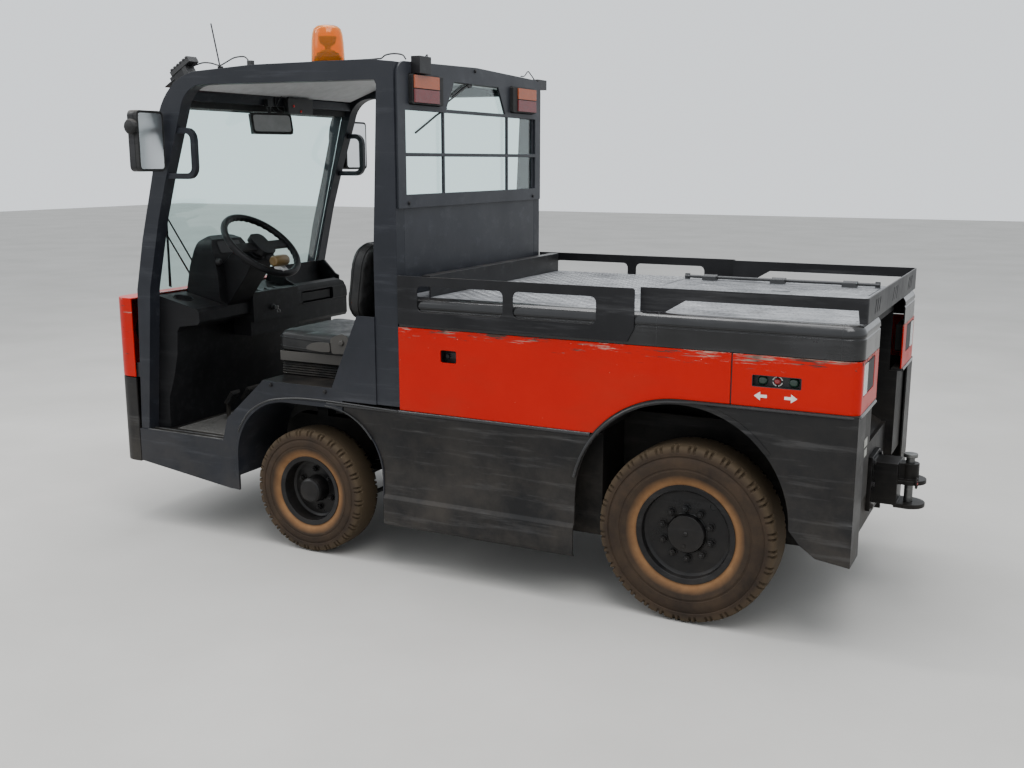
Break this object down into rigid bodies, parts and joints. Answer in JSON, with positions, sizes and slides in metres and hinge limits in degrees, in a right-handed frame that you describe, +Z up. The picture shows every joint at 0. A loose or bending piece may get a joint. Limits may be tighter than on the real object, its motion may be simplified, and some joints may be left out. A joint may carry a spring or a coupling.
{
  "type": "electric tow tractor",
  "caption": "Electric tow tractor with an open two-door cab in front, a railed flat cargo deck behind and a pin coupling at the rear.",
  "frame": {"origin": "on the floor under the middle of the length and width", "axes": "+X forward, +Y left, +Z up"},
  "size_m": [3.487, 1.66, 2.2158],
  "materials": {
    "grey_paint": "satin, scratched and dusty",
    "red_paint": "satin, worn along the edges",
    "black_paint": "satin, chipped",
    "chassis_paint": "matte, dusty",
    "deck_metal": "worn raised-pattern plate",
    "steel": "plain",
    "battery_case": "matte",
    "moulding": "grained black moulding",
    "seat_cover": "black vinyl cover",
    "clear_glass": "clear, faint teal tint",
    "lamp_lens": "ribbed lens",
    "amber_lens": "clear amber dome",
    "tyre_rubber": "dusty solid rubber"
  },
  "bodies": {
    "body": {"chassis_frame": "chassis_paint", "front_axle": "chassis_paint", "rear_axle": "chassis_paint", "drive_motors": "steel", "battery": "battery_case", "cab_floor": "chassis_paint", "nose_panel": "grey_paint", "nose_band": "red_paint", "front_fenders": "grey_paint", "mid_skirts": "grey_paint", "rear_fenders": "grey_paint", "side_panels": "red_paint", "corner_panels": "red_paint", "shoulder_covers": "moulding", "deck_plate": "deck_metal", "deck_rails": "black_paint", "rear_rail": "black_paint", "cab_frame": "grey_paint", "roof_panel": "grey_paint", "rear_wall": "grey_paint", "window_guard": "grey_paint", "glazing": "clear_glass", "dashboard": "moulding", "steering_column": "moulding", "seat_base": "chassis_paint", "seat_cushion": "seat_cover", "seat_backrest": "seat_cover", "lamps": "lamp_lens", "mirrors": "moulding", "beacon": "amber_lens", "roof_gear": "moulding", "hitch_body": "chassis_paint"},
    "hatch": {"deck_hatch": "deck_metal"},
    "wheel_of_steering": {"steering_wheel": "moulding"},
    "pin": {"hitch_pin": "steel"},
    "knuckle_l": {"knuckle_left": "steel"},
    "knuckle_r": {"knuckle_right": "steel"},
    "rod": {"tie_rod": "steel"},
    "front_wheel_l": {"front_rim_left": "black_paint", "front_tyre_left": "tyre_rubber"},
    "front_wheel_r": {"front_rim_right": "black_paint", "front_tyre_right": "tyre_rubber"},
    "rear_wheel_l": {"rear_rim_left": "black_paint", "rear_tyre_left": "tyre_rubber"},
    "rear_wheel_r": {"rear_rim_right": "black_paint", "rear_tyre_right": "tyre_rubber"}
  },
  "joints": [
    {"name": "rear_wheel_left", "type": "hinge", "parent": "body", "child": "rear_wheel_l", "pos_m": [-1.01, 0.538, 0.332], "axis": [0, 1, 0], "continuous": true},
    {"name": "rear_wheel_right", "type": "hinge", "parent": "body", "child": "rear_wheel_r", "pos_m": [-1.01, -0.538, 0.332], "axis": [0, 1, 0], "continuous": true},
    {"name": "steer_left", "type": "hinge", "parent": "body", "child": "knuckle_l", "pos_m": [0.66, 0.452, 0.268], "axis": [0, 0, 1], "range_deg": [-35, 35]},
    {"name": "steer_right", "type": "hinge", "parent": "body", "child": "knuckle_r", "pos_m": [0.66, -0.452, 0.268], "axis": [0, 0, 1], "range_deg": [-35, 35]},
    {"name": "front_wheel_left", "type": "hinge", "parent": "knuckle_l", "child": "front_wheel_l", "pos_m": [0.66, 0.553, 0.268], "axis": [0, 1, 0], "continuous": true},
    {"name": "front_wheel_right", "type": "hinge", "parent": "knuckle_r", "child": "front_wheel_r", "pos_m": [0.66, -0.553, 0.268], "axis": [0, 1, 0], "continuous": true},
    {"name": "tie_rod_left_end", "type": "hinge", "parent": "knuckle_l", "child": "rod", "pos_m": [0.53, 0.452, 0.198], "axis": [0, 0, 1], "range_deg": [-35, 35]},
    {"name": "steering_wheel_turn", "type": "hinge", "parent": "body", "child": "wheel_of_steering", "pos_m": [1.15, 0.28, 1.262], "axis": [-0.6561, 0, 0.7547], "range_deg": [-525, 525]},
    {"name": "hitch_pin_lift", "type": "slide", "parent": "body", "child": "pin", "axis": [0, 0, 1], "range_m": [0, 0.095]},
    {"name": "hatch_hinge", "type": "hinge", "parent": "body", "child": "hatch", "pos_m": [-1.042, -0.506, 1.147], "axis": [1, 0, 0], "range_deg": [0, 85]}
  ],
  "couplings": [
    {"joint": "steer_right", "follows": "steer_left", "ratio": 1},
    {"joint": "tie_rod_left_end", "follows": "steer_left", "ratio": -1},
    {"joint": "steering_wheel_turn", "follows": "steer_left", "ratio": 15}
  ]
}
